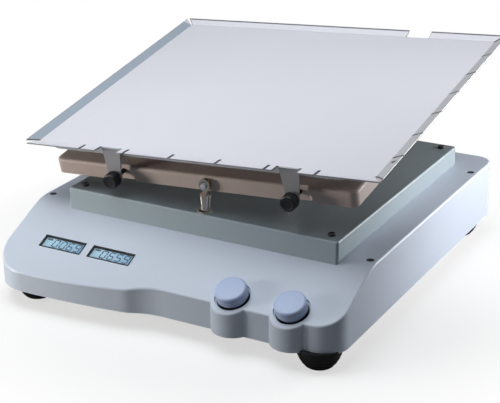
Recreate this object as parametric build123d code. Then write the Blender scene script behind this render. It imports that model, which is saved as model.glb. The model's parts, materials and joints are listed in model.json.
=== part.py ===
from build123d import *
from math import atan2, cos, degrees, radians, sin, sqrt
import os

os.makedirs("parts", exist_ok=True)

# A bench shaker whose platform keeps one tilt while the low side travels round.
# Millimetres, +Z up, front at -Y. The origin is on the bench, under the middle of the body.

# Body
body_width = 380
body_middle_x = -5
body_depth = 420
foot_height = 21
wall_height = 60
wall_skirt = 2
shell = 3
shell_edge_radius = 2
back_radius = 18
left_lobe_radius = 40
right_lobe_radius = 25
front_radius = 830
front_turn = 8
wave_inner_radius = 30
wave_outer_radius = 75
wave_turn = 17

# Sloping front panel
panel_bend_setback = 106
panel_bend_radius = 60
panel_angle = 24

# Metal deck over the middle of the body
deck_width = 305
deck_margin = 8.5
deck_ahead = 7
deck_height = 20
deck_sheet = 1.5
deck_corner_radius = 3
deck_ledge = 5
deck_screw_inset = 12.5

# Fasteners and general fits
screw_diameter = 4
screw_head_diameter = 7.5
screw_head_height = 2.6
screw_length = 9
running_gap = 0.1
seat_gap = 0.3

# Feet
foot_top_diameter = 44
foot_rest_diameter = 26
foot_bore = 10
foot_bore_depth = 9
foot_left_inset = 35
foot_right_inset = 25.6
foot_inset_y = 35

# Housing fixing posts with their caps
post_diameter = 11
post_inset = 8
post_front_setback = 105
post_back_setback = 54
post_bore = 8
post_floor = 16
cap_depth = 3
cap_sink = 0.3

# Base plate and the bridge over it
base_sheet = 2
base_gap = 0.4
bridge_width = 136
bridge_depth = 116
bridge_thickness = 5
bridge_top = 76
bridge_pillar_diameter = 12
bridge_pillar_inset = 10
deck_pillar_diameter = 10

# Drive axis and the tilted platform on it
drive_x = 4
drive_y = 32
pivot_height = 152.5
tilt = 10
low_side = 24

# Shaft, tilt head and bearings
shaft_diameter = 17
shaft_bottom = 27
shaft_into_head = 14
bearing_outside = 35
bearing_width = 10
bearing_ring = 3.1
bearing_ball = 4.8
bearing_balls = 9
bearing_wall = 4.5
housing_flange = 70
housing_flange_thickness = 5
lower_bearing_bottom = 29
upper_bearing_bottom = 83
head_diameter = 44
head_neck = 22
head_neck_height = 3
seal_width = 4
seal_height = 3
head_gap = 1.5
stub_shoulder = 3.5

# Belt drive
motor_pitch = 24
belt_ratio = 4
belt_thickness = 1.5
belt_width = 8
belt_middle = 56
belt_distance = 95
pulley_side_play = 1
pulley_flange = 2
pulley_rim = 3
pulley_hub = 34
pulley_holes = 6
motor_shaft_diameter = 6
motor_diameter = 54
motor_height = 21
motor_bracket_width = 84
motor_bracket_depth = 64
motor_bracket_sheet = 3
motor_bracket_foot = 14
motor_gap = 1
motor_shaft_lift = 5

# Platform: hub, rocking plate, support pan and tray, heights from the pivot along the tilted axis
hub_bottom = -22
hub_top = 15
hub_flange = 76
hub_flange_thickness = 4
hub_cap_thickness = 2
hub_screw_count = 6
lower_platform_bearing = -20
upper_platform_bearing = -1
stub_nut_height = 4
stub_nut_flats = 26
plate_width = 342
plate_middle_x = -11
plate_depth = 290
plate_top = 7.5
plate_height = 16
plate_sheet = 2
plate_corner_radius = 8
plate_edge_radius = 3
notch_top = 21
notch_bottom = 33
notch_depth = 4
pan_overhang = 5
pan_height = 8.8
pan_sheet = 1.5
pan_corner_radius = 14
spacer_diameter = 12
spacer_x = 120
spacer_y = 95
tray_floor = 32.5
tray_overhang_x = 17
tray_overhang_y = 9
tray_sheet = 1.2
tray_flange = 11
tray_flange_angle = 20
tray_front_angle = 7
tray_mitre = 42
slit_width = 2.4
slit_pitch_x = 52.6
slits_x = 6
slit_pitch_y = 46.6
slits_y = 6
tray_hole = 4
tray_hole_y = -127
clamp_x = 100
strap_gap = 26
strap_top_width = 22
strap_bottom_width = 15
strap_taper = 26
strap_lean = 2

# Thumb screws of the tray clamps
thumb_height = 0.5
thumb_diameter = 16.5
thumb_length = 11
thumb_flutes = 16
thumb_flute = 1.6
thumb_shank = 5
thumb_thread_end = 8
thumb_collar = 9
thumb_collar_height = 0.6
thumb_edge_radius = 1.2

# Guide rod that keeps the platform from turning
eye_gap = 1.2
rod_diameter = 10
rod_bottom = 41
ball_diameter = 7
ball_seat = 0.8
ball_seat_angle = 34
eye_diameter = 12.4
eye_width = 5.2
rod_collar_diameter = 11.6
rod_collar_height = 5
rod_neck = 4
neck_diameter = 4.4
stud_diameter = 4
stud_nut = 8
stud_head = 5.5
stud_head_length = 2.4
stud_head_gap = 1.2
bush_wall = 0.7
bush_play = 0.18
bush_lip = 0.4
bush_height = 1.2
bush_tail = 6

# Displays on the panel, measured along the slope
display_width = 47
display_height = 13.5
display_frame = 1.3
display_frame_rise = 0.3
display_setback = 42
left_display_x = -131
right_display_x = -73
window_depth = 0.8
window_thickness = 1.2
module_margin = 2

# Knobs on the panel
knob_setback = 29
speed_knob_x = 72
time_knob_x = 134
knob_boss_radius = 21
knob_diameter = 32
knob_height = 13
knob_wall = 2.5
knob_edge_radius = 2
knob_hub = 12
knob_travel = 1
knob_moat = 1.8
knob_recess = 2.8
knob_pad = 2.6
knob_shaft_diameter = 6
knob_shaft_top = 8
encoder_side = 12
encoder_collar = 7
encoder_hole = 8
washer_thickness = 0.4

# Control board under the panel
board_depth = 12
board_sheet = 1.6
board_left_gap = 23
board_right_gap = 27
board_top_edge = -27.5
board_bottom_edge = -65.5
standoff_diameter = 6
standoff_left_inset = 6
standoff_right_inset = 8
standoff_low = -58.5
standoff_high = -32.5
standoff_inner_x = 32

# Power board, mains inlet and switch at the back
power_board_wall_gap = 24
power_board_pillar_gap = 1
power_board_back_gap = 9.75
power_board_depth = 70
power_board_lift = 8
power_board_inset = 6
transformer_width = 38
transformer_depth = 34
transformer_height = 26
capacitor_diameter = 12
capacitor_height = 20
capacitor_pitch = 18
heat_sink_thickness = 4
heat_sink_length = 46
heat_sink_height = 22
inlet_x = 120
inlet_height = 49
inlet_width = 31
inlet_tall = 24
inlet_flange = 3
inlet_rim = 2
inlet_recess_width = 24
inlet_recess_tall = 16
inlet_recess_depth = 18
inlet_pin_length = 12
inlet_body_depth = 22
inlet_pin_pitch = 7
inlet_earth_drop = 2
inlet_pin_thickness = 2
inlet_pin_width = 4
switch_x = 70
switch_width = 15
switch_tall = 26
switch_rocker_width = 10
switch_rocker_radius = 9.3
switch_face = 3
switch_back = 4
switch_dip = 1.4
switch_angle = 9
switch_body_depth = 13
switch_trunnion = 3
switch_trunnion_length = 0.8
switch_wall = 1.4

# Levels and places worked out from the sizes above
left_x = body_middle_x - body_width / 2
right_x = body_middle_x + body_width / 2
front_y = -body_depth / 2
back_y = body_depth / 2
panel_bend_y = front_y + panel_bend_setback
post_front_y = front_y + post_front_setback
post_back_y = back_y - post_back_setback
display_y = front_y + display_setback
knob_y = front_y + knob_setback
deck_depth = plate_depth + deck_margin
deck_middle_y = drive_y - deck_ahead
pan_width = plate_width
pan_depth = plate_depth + 2 * pan_overhang
tray_width = plate_width + 2 * tray_overhang_x
tray_depth = plate_depth + 2 * tray_overhang_y
board_left = left_x + board_left_gap
board_right = right_x - board_right_gap
housing_top = foot_height + wall_height
base_top = foot_height + base_sheet
deck_top = housing_top + deck_height
deck_under = deck_top - deck_sheet
bridge_under = bridge_top - bridge_thickness
pivot = (drive_x, drive_y, pivot_height)
motor_y = drive_y + belt_distance
driven_pitch = motor_pitch * belt_ratio
tilt_axis = Axis(pivot, (cos(radians(low_side)), -sin(radians(low_side)), 0))
rod_reach = plate_depth / 2 + eye_gap + eye_width / 2
rod_wander = rod_reach * (1 - cos(radians(tilt)))
bush_bore = rod_diameter + rod_wander + 2 * bush_play
bush_y = drive_y - rod_reach + rod_wander / 2
seat_radius = ball_diameter / 2 + running_gap + ball_seat
eye_cavity = seat_radius + running_gap
panel_top_y = panel_bend_y - panel_bend_radius * sin(radians(panel_angle))
panel_top_z = housing_top - panel_bend_radius * (1 - cos(radians(panel_angle)))
panel_normal = (0, -sin(radians(panel_angle)), cos(radians(panel_angle)))
panel = Plane((0, panel_top_y, panel_top_z), x_dir=(1, 0, 0), z_dir=panel_normal)
post_columns = [left_x + post_inset, right_x - post_inset]
screw_caps_at = [(x, y) for x in post_columns for y in (post_front_y, post_back_y)]
foot_columns = [left_x + foot_left_inset, right_x - foot_right_inset]
foot_y = body_depth / 2 - foot_inset_y
feet_at = [(x, sy * foot_y) for x in foot_columns for sy in (-1, 1)]
deck_screw_x = deck_width / 2 - deck_screw_inset
deck_screw_y = deck_depth / 2 - deck_screw_inset
deck_screw_rows = [deck_middle_y + sy * deck_screw_y for sy in (-1, 1)]
deck_screws_at = [(sx * deck_screw_x, y) for sx in (-1, 1) for y in deck_screw_rows]
pillar_x = bridge_width / 2 - bridge_pillar_inset
pillar_y = bridge_depth / 2 - bridge_pillar_inset
power_board_left = left_x + power_board_wall_gap
power_board_right = drive_x - pillar_x - bridge_pillar_diameter / 2 - power_board_pillar_gap
power_board_width = power_board_right - power_board_left
power_board_x = (power_board_left + power_board_right) / 2
power_board_back = deck_middle_y + deck_screw_y - deck_pillar_diameter / 2 - power_board_back_gap
power_board_y = power_board_back - power_board_depth / 2
pillar_rows = [drive_y + sy * pillar_y for sy in (-1, 1)]
pillars_at = [(drive_x + sx * pillar_x, y) for sx in (-1, 1) for y in pillar_rows]
bearing_pitch = (shaft_diameter + bearing_outside) / 4
clamps = [("front_left", -1, -1), ("front_right", 1, -1), ("back_right", 1, 1)]
spacers_at = [(sx * spacer_x, sy * spacer_y) for sx in (-1, 1) for sy in (-1, 1)]


def disc(diameter, bottom, top):
    return Pos(0, 0, (bottom + top) / 2) * Cylinder(diameter / 2, top - bottom)


def ring(outside, inside, bottom, top):
    return disc(outside, bottom, top) - disc(inside, bottom, top)


def block(width, depth, bottom, top):
    return Pos(0, 0, (bottom + top) / 2) * Box(width, depth, top - bottom)


def hexagon(flats, bottom, top):
    outline = RegularPolygon(flats / 2, 6, major_radius=False)
    return Pos(0, 0, bottom) * extrude(outline, top - bottom)


def group(shapes):
    return Compound([solid for shape in shapes for solid in shape.solids()])


def on_drive_axis(shape):
    return Pos(drive_x, drive_y, 0) * shape


def on_platform(shape):
    return (Pos(*pivot) * shape).rotate(tilt_axis, tilt)


def on_panel(x, y):
    along = (y - panel_top_y) / cos(radians(panel_angle))
    return panel.location * Pos(x, along, 0)


def screw(seat):
    head = disc(screw_head_diameter, seat, seat + screw_head_height)
    head = fillet(head.edges().group_by(Axis.Z)[-1], screw_head_height / 3)
    socket = hexagon(screw_diameter * 0.7, seat + screw_head_height / 3, seat + screw_head_height)
    return head + disc(screw_diameter, seat - screw_length, seat) - socket


# Outline of the body seen from above, moved inwards by an inset
def body_plan(inset):
    lobe_y = front_y + left_lobe_radius
    lobe = JernArc((left_x + inset, lobe_y), (0, -1), left_lobe_radius - inset, 90)
    front = JernArc(lobe @ 1, lobe % 1, front_radius - inset, front_turn)
    rise = JernArc(front @ 1, front % 1, wave_inner_radius - inset, wave_turn)
    fall = JernArc(rise @ 1, rise % 1, wave_outer_radius + inset, -front_turn - wave_turn)
    right_front = Line(fall @ 1, (right_x - right_lobe_radius, (fall @ 1).Y))
    right_lobe = JernArc(right_front @ 1, (1, 0), right_lobe_radius - inset, 90)
    right = Line(right_lobe @ 1, (right_x - inset, back_y - back_radius))
    right_back = JernArc(right @ 1, (0, 1), back_radius - inset, 90)
    back = Line(right_back @ 1, (left_x + back_radius, back_y - inset))
    left_back = JernArc(back @ 1, (-1, 0), back_radius - inset, 90)
    left = Line(left_back @ 1, lobe @ 0)
    sides = [lobe, front, rise, fall, right_front, right_lobe, right, right_back, back, left_back, left]
    outline = make_face(Wire(sides))
    for x in (speed_knob_x, time_knob_x):
        outline += Pos(x, knob_y) * Circle(knob_boss_radius - inset)
    return outline


# Side view of the body under its top surface, moved inwards by an inset
def body_side(inset):
    flat = Line((body_depth, housing_top - inset), (panel_bend_y, housing_top - inset))
    bend = JernArc(flat @ 1, (-1, 0), panel_bend_radius - inset, panel_angle)
    slope = Line(bend @ 1, bend @ 1 + (bend % 1) * body_depth)
    low = (slope @ 1).Y
    rest = Polyline(slope @ 1, (body_depth, low), flat @ 0)
    face = make_face(Wire([flat, bend, slope] + rest.edges()))
    return extrude(Plane.YZ * face, body_width, both=True)


def body_solid(inset):
    walls = Pos(0, 0, foot_height - wall_skirt) * extrude(body_plan(inset), wall_height + wall_skirt)
    return walls & body_side(inset)


# Height of the top surface over the flat part and the bend
def top_surface(y):
    past = max(panel_bend_y - y, 0)
    return housing_top - panel_bend_radius + sqrt(panel_bend_radius**2 - past**2)


def knob_recess_cut(x):
    recess = disc(knob_diameter + 2 * knob_moat, -knob_recess, knob_height)
    return on_panel(x, knob_y) * (recess + disc(encoder_hole, -board_depth, knob_height))


def deck_block(inset, bottom, top):
    outline = RectangleRounded(deck_width - 2 * inset, deck_depth - 2 * inset, deck_corner_radius)
    return Pos(0, deck_middle_y, bottom) * extrude(outline, top - bottom)


def display_block(margin, bottom, top):
    shape = block(display_width + 2 * margin, display_height + 2 * margin, bottom, top)
    return [on_panel(x, display_y) * shape for x in (left_display_x, right_display_x)]


def upper_housing():
    outer = body_solid(0)
    top_edges = outer.edges().filter_by(lambda e: e.bounding_box().min.Z > foot_height + 1)
    rims = [e for e in top_edges if abs((e % 0.5).Z) < 0.6 and e.length < body_width]
    body = fillet(rims, shell_edge_radius) - body_solid(shell)
    for x in (speed_knob_x, time_knob_x):
        pad = on_panel(x, knob_y) * disc(2 * knob_boss_radius - shell, -knob_recess - knob_pad, -shell / 2)
        body += pad & outer
    core = body_solid(shell / 2)
    for x, y in screw_caps_at:
        body += Pos(x, y) * disc(post_diameter, base_top, housing_top) & core
    body -= deck_block(deck_ledge, base_top, housing_top + 1)
    body -= Pos(drive_x, bush_y) * disc(bush_bore + 2 * bush_wall, base_top, housing_top)
    for x in (speed_knob_x, time_knob_x):
        body -= knob_recess_cut(x)
    for window in display_block(display_frame, -2 * shell, shell):
        body -= window
    for x, y in screw_caps_at:
        body -= Pos(x, y) * disc(post_bore, base_top + post_floor, housing_top + 1)
        body -= Pos(x, y) * disc(screw_diameter, foot_height, housing_top)
    for x, y in feet_at:
        body -= Pos(x, y) * disc(foot_top_diameter + 4 * seat_gap, 0, foot_height)
    body -= Pos(inlet_x, back_y, inlet_height) * Box(inlet_width, 4 * shell, inlet_tall)
    body -= Pos(switch_x, back_y, inlet_height) * Box(switch_width, 4 * shell, switch_tall)
    return body


def base_plate():
    plate = Pos(0, 0, foot_height) * extrude(body_plan(shell + base_gap), base_sheet)
    for x, y in screw_caps_at + feet_at + motor_feet():
        plate -= Pos(x, y) * disc(screw_diameter, 0, base_top)
    for place in bearing_screws_at():
        plate -= place * disc(screw_diameter, 0, base_top)
    return plate


def bearing_screws_at():
    step = (housing_flange / 2 - screw_head_diameter) * cos(radians(45)) + 1
    return [Pos(drive_x + sx * step, drive_y + sy * step) for sx in (-1, 1) for sy in (-1, 1)]


def rubber_feet():
    side = ThreePointArc(
        (foot_rest_diameter / 2, 0),
        (foot_top_diameter / 2 - 2.5, foot_height / 2 - 1),
        (foot_top_diameter / 2, foot_height),
    )
    outline = Polyline(side @ 1, (0, foot_height), (0, 0), side @ 0)
    foot = revolve(Plane.XZ * make_face(Wire([side] + outline.edges())), Axis.Z)
    foot -= disc(foot_bore, 0, foot_bore_depth)
    foot -= disc(screw_diameter, 0, foot_height)
    return group([Pos(x, y) * foot for x, y in feet_at])


def foot_screws():
    screws = [Pos(x, y) * Rot(180, 0, 0) * screw(-foot_bore_depth) for x, y in feet_at]
    return group(screws)


def housing_screws():
    seat = base_top + post_floor
    long_screw = disc(post_bore - 1, seat, seat + screw_diameter) + disc(screw_diameter, foot_height, seat)
    return group([Pos(x, y) * long_screw for x, y in screw_caps_at])


def screw_caps():
    caps = []
    for x, y in screw_caps_at:
        top = top_surface(y - post_bore / 2) - cap_sink
        caps.append(Pos(x, y) * disc(post_bore, top - cap_depth, top))
    return group(caps)


def deck_cover():
    cover = deck_block(0, foot_height, deck_top)
    cover = fillet(cover.edges().group_by(Axis.Z)[-1], deck_sheet * 1.2)
    inner = RectangleRounded(
        deck_width - 2 * deck_sheet,
        deck_depth - 2 * deck_sheet,
        deck_corner_radius - deck_sheet,
    )
    cover -= Pos(0, deck_middle_y, foot_height) * extrude(inner, deck_under - foot_height)
    cover -= body_side(0)
    cover -= on_drive_axis(disc(head_diameter + 2 * seal_width, housing_top, deck_top))
    cover -= Pos(drive_x, bush_y) * disc(bush_bore + 2 * bush_wall, housing_top, deck_top)
    for x, y in deck_screws_at:
        cover -= Pos(x, y) * disc(screw_diameter, housing_top, deck_top)
    return cover


def deck_pillars():
    pillar = disc(deck_pillar_diameter, base_top, deck_under)
    pillar -= disc(screw_diameter, deck_under - 2 * screw_length, deck_under)
    return group([Pos(x, y) * pillar for x, y in deck_screws_at])


def deck_screws():
    return group([Pos(x, y) * screw(deck_top) for x, y in deck_screws_at])


def display_frames():
    outers = display_block(display_frame, -shell, display_frame_rise)
    inners = display_block(0, -shell, display_frame_rise)
    return group([outer - inner for outer, inner in zip(outers, inners)])


def display_windows():
    return group(display_block(0, -window_depth - window_thickness, -window_depth))


def display_modules():
    return group(display_block(module_margin, -board_depth, -shell - running_gap))


def control_board():
    middle = (board_left + board_right) / 2
    along = (board_top_edge + board_bottom_edge) / 2
    width = board_right - board_left
    under = -board_depth - board_sheet
    sheet = block(width, board_top_edge - board_bottom_edge, under, -board_depth)
    return panel.location * Pos(middle, along, 0) * sheet


def standoffs_at():
    left = (board_left + standoff_left_inset, standoff_low)
    right = (board_right - standoff_right_inset, standoff_high)
    return [left, right, (-standoff_inner_x, standoff_high), (standoff_inner_x, standoff_low)]


def board_standoffs():
    short = disc(standoff_diameter, -board_depth, -shell)
    tall = disc(standoff_diameter, base_top, base_top + power_board_lift)
    front = [panel.location * Pos(x, y, 0) * short for x, y in standoffs_at()]
    back = [Pos(x, y) * tall for x, y in power_board_corners()]
    return group(front + back)


def encoder_bodies():
    body = block(encoder_side, encoder_side, -board_depth, -knob_recess - knob_pad - running_gap)
    body += disc(encoder_collar, -board_depth, -knob_recess)
    body -= disc(knob_shaft_diameter + 2 * running_gap, -board_depth + 1, 0)
    return group([on_panel(x, knob_y) * body for x in (speed_knob_x, time_knob_x)])


def knob_washers():
    washer = ring(knob_diameter, encoder_hole, -knob_recess, -knob_recess + washer_thickness)
    return group([on_panel(x, knob_y) * washer for x in (speed_knob_x, time_knob_x)])


def knob_shaft(x):
    bottom = -board_depth + 1 + running_gap
    return on_panel(x, knob_y) * disc(knob_shaft_diameter, bottom, knob_shaft_top)


def knob(x):
    bottom = -knob_recess + washer_thickness + knob_travel + running_gap
    top = bottom + knob_height
    cap = disc(knob_diameter, bottom, top)
    cap = fillet(cap.edges().group_by(Axis.Z)[-1], knob_edge_radius)
    cap -= ring(knob_diameter - 2 * knob_wall, knob_hub, bottom, top - knob_wall)
    cap -= disc(knob_shaft_diameter + 2 * running_gap, bottom, knob_shaft_top + knob_travel + running_gap)
    return on_panel(x, knob_y) * cap


# Bridge and the two bearings of the drive shaft
def bridge_plate():
    plate = on_drive_axis(block(bridge_width, bridge_depth, bridge_under, bridge_top))
    plate = fillet(plate.edges().filter_by(Axis.Z), bridge_pillar_inset / 2)
    plate -= on_drive_axis(disc(head_neck + 2 * bearing_wall, bridge_under, bridge_top))
    for x, y in pillars_at:
        plate -= Pos(x, y) * disc(screw_diameter, bridge_under, bridge_top)
    for place in bearing_screws_at():
        plate -= place * disc(screw_diameter, bridge_under, bridge_top)
    return plate


def bridge_pillars():
    pillar = disc(bridge_pillar_diameter, base_top, bridge_under)
    pillar -= disc(screw_diameter, bridge_under - screw_length, bridge_under)
    return group([Pos(x, y) * pillar for x, y in pillars_at])


def bearing_housing(seat, bearing_bottom):
    top = bearing_bottom + bearing_width + 1
    body = disc(housing_flange, seat, seat + housing_flange_thickness)
    body += disc(bearing_outside + 2 * bearing_wall, seat, top)
    body -= disc(bearing_outside, bearing_bottom, top)
    body -= disc(head_neck + 2, seat, bearing_bottom)
    body = on_drive_axis(body)
    for place in bearing_screws_at():
        body -= place * disc(screw_diameter, seat, top)
    return body


def chassis_screws():
    screws = [Pos(x, y) * screw(bridge_top) for x, y in pillars_at]
    for seat in (base_top, bridge_top):
        screws += [place * screw(seat + housing_flange_thickness) for place in bearing_screws_at()]
    screws += [Pos(x, y) * screw(base_top + motor_bracket_sheet) for x, y in motor_feet()]
    return group(screws)


def bearing_balls_at(middle):
    ball = Pos(bearing_pitch, 0, middle) * Sphere(bearing_ball / 2)
    return [Rot(0, 0, 360 * i / bearing_balls) * ball for i in range(bearing_balls)]


def bearing_race(outside, inside, bottom):
    middle = bottom + bearing_width / 2
    groove = Pos(0, 0, middle) * Torus(bearing_pitch, bearing_ball / 2 + running_gap)
    return ring(outside, inside, bottom, bottom + bearing_width) - groove


def bearing_outer(bottom):
    race = bearing_race(bearing_outside, bearing_outside - 2 * bearing_ring, bottom)
    return [race] + bearing_balls_at(bottom + bearing_width / 2)


def bearing_inner(bottom):
    return bearing_race(shaft_diameter + 2 * bearing_ring, shaft_diameter, bottom)


def drive_bearing_outers():
    bearings = bearing_outer(lower_bearing_bottom) + bearing_outer(upper_bearing_bottom)
    return group([on_drive_axis(shape) for shape in bearings])


def drive_bearing_inners():
    return group([on_drive_axis(bearing_inner(z)) for z in (lower_bearing_bottom, upper_bearing_bottom)])


def shaft_seal():
    outside = head_diameter + 2 * seal_width
    seal = ring(outside, head_diameter + 2 * seat_gap, deck_under, deck_under + seal_height)
    return on_drive_axis(seal)


def drive_shaft():
    head_bottom = upper_bearing_bottom + bearing_width
    return on_drive_axis(disc(shaft_diameter, shaft_bottom, head_bottom + shaft_into_head))


# Head whose top is cut square to the tilted axis, with the stub that carries the platform
def tilt_head():
    bottom = upper_bearing_bottom + bearing_width
    head = on_drive_axis(disc(head_neck, bottom, bottom + head_neck_height))
    head += on_drive_axis(disc(head_diameter, bottom + head_neck_height, pivot_height))
    above = on_platform(block(2 * head_diameter, 2 * head_diameter, hub_bottom - head_gap, pivot_height))
    head -= above
    stub_bottom = hub_bottom - head_gap - 2 * stub_shoulder
    head += on_platform(disc(head_neck, stub_bottom, lower_platform_bearing))
    head += on_platform(disc(shaft_diameter, stub_bottom, hub_top - 2))
    return head - on_drive_axis(disc(shaft_diameter, bottom, bottom + shaft_into_head))


def stub_nut():
    bottom = upper_platform_bearing + bearing_width
    nut = hexagon(stub_nut_flats, bottom, bottom + stub_nut_height)
    return on_platform(nut - disc(shaft_diameter, bottom, hub_top))


# Belt drive
def pulley_floor(pitch):
    return pitch - belt_thickness - 2 * seat_gap


def pulley(pitch, bore, hub):
    half = belt_width / 2 + pulley_side_play
    body = disc(pulley_floor(pitch), belt_middle - half, belt_middle + half)
    for low, high in ((-half - pulley_flange, -half), (half, half + pulley_flange)):
        body += disc(pitch + 2 * pulley_rim, belt_middle + low, belt_middle + high)
    body += disc(hub, belt_middle - half - pulley_flange, belt_middle + half + 2 * pulley_flange)
    return body - disc(bore, 0, pivot_height)


def drive_pulley():
    body = pulley(driven_pitch, shaft_diameter, pulley_hub)
    radius = (pulley_hub + pulley_floor(driven_pitch)) / 4
    bore = (pulley_floor(driven_pitch) - pulley_hub) / 2 - 2 * pulley_rim
    for i in range(pulley_holes):
        body -= Rot(0, 0, 360 * i / pulley_holes) * Pos(radius, 0, 0) * disc(bore, 0, pivot_height)
    return on_drive_axis(body)


def motor_pulley():
    return Pos(drive_x, motor_y) * pulley(motor_pitch, motor_shaft_diameter, motor_pitch / 2)


def belt_loop(grow):
    big = Pos(drive_x, drive_y) * Circle(driven_pitch / 2 + grow)
    small = Pos(drive_x, motor_y) * Circle(motor_pitch / 2 + grow)
    loop = make_hull(big.edges() + small.edges())
    return Pos(0, 0, belt_middle - belt_width / 2) * extrude(loop, belt_width)


def drive_belt():
    return belt_loop(belt_thickness / 2) - belt_loop(-belt_thickness / 2)


def motor_feet():
    x = motor_bracket_width / 2 + motor_bracket_foot / 2
    return [(drive_x + sx * x, motor_y + sy * motor_bracket_depth / 4) for sx in (-1, 1) for sy in (-1, 1)]


def motor_housing():
    bottom = base_top + motor_gap
    body = disc(motor_diameter, bottom, bottom + motor_height)
    body = fillet(body.edges().group_by(Axis.Z)[0], shell_edge_radius)
    bore = disc(motor_shaft_diameter + 2 * running_gap, base_top + motor_shaft_lift, bottom + motor_height)
    return Pos(drive_x, motor_y) * (body - bore)


def motor_bracket():
    under = base_top + motor_gap + motor_height
    sheet = motor_bracket_sheet
    body = block(motor_bracket_width, motor_bracket_depth, under, under + sheet)
    for side in (-1, 1):
        leg = block(sheet, motor_bracket_depth, base_top, under + sheet)
        body += Pos(side * (motor_bracket_width - sheet) / 2, 0) * leg
        foot = block(motor_bracket_foot, motor_bracket_depth, base_top, base_top + sheet)
        body += Pos(side * (motor_bracket_width + motor_bracket_foot) / 2, 0) * foot
    body -= disc(motor_pitch / 2, base_top, under + sheet)
    body = Pos(drive_x, motor_y) * body
    for x, y in motor_feet():
        body -= Pos(x, y) * disc(screw_diameter, base_top, base_top + sheet)
    return body


def motor_shaft():
    top = belt_middle + belt_width / 2 + pulley_side_play + 2 * pulley_flange
    bottom = base_top + motor_shaft_lift + running_gap
    return Pos(drive_x, motor_y) * disc(motor_shaft_diameter, bottom, top)


# Electrics at the back
def power_board_corners():
    x = power_board_width / 2 - power_board_inset
    y = power_board_depth / 2 - power_board_inset
    return [(power_board_x + sx * x, power_board_y + sy * y) for sx in (-1, 1) for sy in (-1, 1)]


def power_board():
    level = base_top + power_board_lift
    top = level + board_sheet
    board = block(power_board_width, power_board_depth, level, top)
    transformer = block(transformer_width, transformer_depth, level, top + transformer_height)
    board += Pos(-power_board_width / 4, 0) * transformer
    for i in (-1, 0, 1):
        capacitor = disc(capacitor_diameter, level, top + capacitor_height)
        board += Pos(capacitor_diameter / 2, i * capacitor_pitch) * capacitor
    heat_sink = block(heat_sink_thickness, heat_sink_length, level, top + heat_sink_height)
    board += Pos(power_board_width / 3, 0) * heat_sink
    return Pos(power_board_x, power_board_y) * board


def on_back(x):
    return Location(Plane((x, back_y, inlet_height), x_dir=(-1, 0, 0), z_dir=(0, 1, 0)))


def mains_inlet():
    body = block(inlet_width + 2 * inlet_flange, inlet_tall + 2 * inlet_flange, 0, inlet_rim)
    body = fillet(body.edges().filter_by(Axis.Z), inlet_flange)
    body += block(inlet_width, inlet_tall, inlet_rim - inlet_body_depth, inlet_rim)
    body -= block(inlet_recess_width, inlet_recess_tall, inlet_rim - inlet_recess_depth, inlet_rim)
    floor = inlet_rim - inlet_recess_depth
    live_pins = [(sx * inlet_pin_pitch, -inlet_earth_drop) for sx in (-1, 1)]
    pin = block(inlet_pin_thickness, inlet_pin_width, floor - 1, floor + inlet_pin_length)
    for x, y in live_pins + [(0, inlet_earth_drop)]:
        body += Pos(x, y) * pin
    return on_back(inlet_x) * body


def rocker_drum(grow):
    return Rot(0, 90, 0) * Cylinder(switch_rocker_radius + grow, switch_rocker_width + 2 * grow)


def switch_frame():
    body = block(switch_width + 2 * inlet_flange, switch_tall + 2 * inlet_flange, 0, inlet_rim)
    body = fillet(body.edges().filter_by(Axis.Z), inlet_flange)
    body += block(switch_width, switch_tall, -switch_body_depth, 0)
    pocket = 2 * (switch_rocker_radius + seat_gap)
    body -= block(switch_rocker_width + 2 * seat_gap, pocket, -switch_body_depth + switch_wall, inlet_rim)
    length = switch_rocker_width + 2 * switch_trunnion_length + 1
    trunnion = Cylinder(switch_trunnion / 2 + running_gap, length)
    return on_back(switch_x) * (body - Rot(0, 90, 0) * trunnion)


def switch_rocker():
    drum = rocker_drum(0)
    drum &= block(2 * switch_width, 2 * switch_tall, -switch_back, switch_face)
    for side in (-1, 1):
        slope = degrees(atan2(switch_dip, switch_rocker_radius))
        cut = Pos(0, 0, switch_face - switch_dip) * Rot(side * slope, 0, 0)
        half = Pos(0, side * switch_tall) * block(2 * switch_width, 2 * switch_tall, 0, 2 * switch_tall)
        drum -= cut * half
    length = switch_rocker_width + 2 * switch_trunnion_length
    drum += Rot(0, 90, 0) * Cylinder(switch_trunnion / 2, length)
    return on_back(switch_x) * Rot(switch_angle, 0, 0) * drum


# Platform
def platform_hub():
    flange_top = plate_top - plate_sheet
    body = disc(hub_flange, flange_top - hub_flange_thickness, flange_top)
    body += disc(bearing_outside + 2 * bearing_wall, hub_bottom, hub_top)
    body -= disc(bearing_outside, hub_bottom, lower_platform_bearing + bearing_width)
    body -= disc(bearing_outside - 4, hub_bottom, hub_top)
    body -= disc(bearing_outside, upper_platform_bearing, hub_top)
    for x, y in hub_screws_at():
        body -= Pos(x, y) * disc(screw_diameter, hub_bottom, hub_top)
    return on_platform(body)


def hub_screws_at():
    radius = (hub_flange + bearing_outside + 2 * bearing_wall) / 4
    turns = [radians(360 * i / hub_screw_count) for i in range(hub_screw_count)]
    return [(radius * cos(turn), radius * sin(turn)) for turn in turns]


def hub_screws():
    return on_platform(group([Pos(x, y) * screw(plate_top) for x, y in hub_screws_at()]))


def hub_cap():
    cap = disc(bearing_outside + 2 * bearing_wall, hub_top, hub_top + hub_cap_thickness)
    return on_platform(cap)


def platform_bearing_outers():
    bearings = bearing_outer(lower_platform_bearing) + bearing_outer(upper_platform_bearing)
    return on_platform(group(bearings))


def platform_bearing_inners():
    rings = [bearing_inner(z) for z in (lower_platform_bearing, upper_platform_bearing)]
    return on_platform(group(rings))


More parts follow.
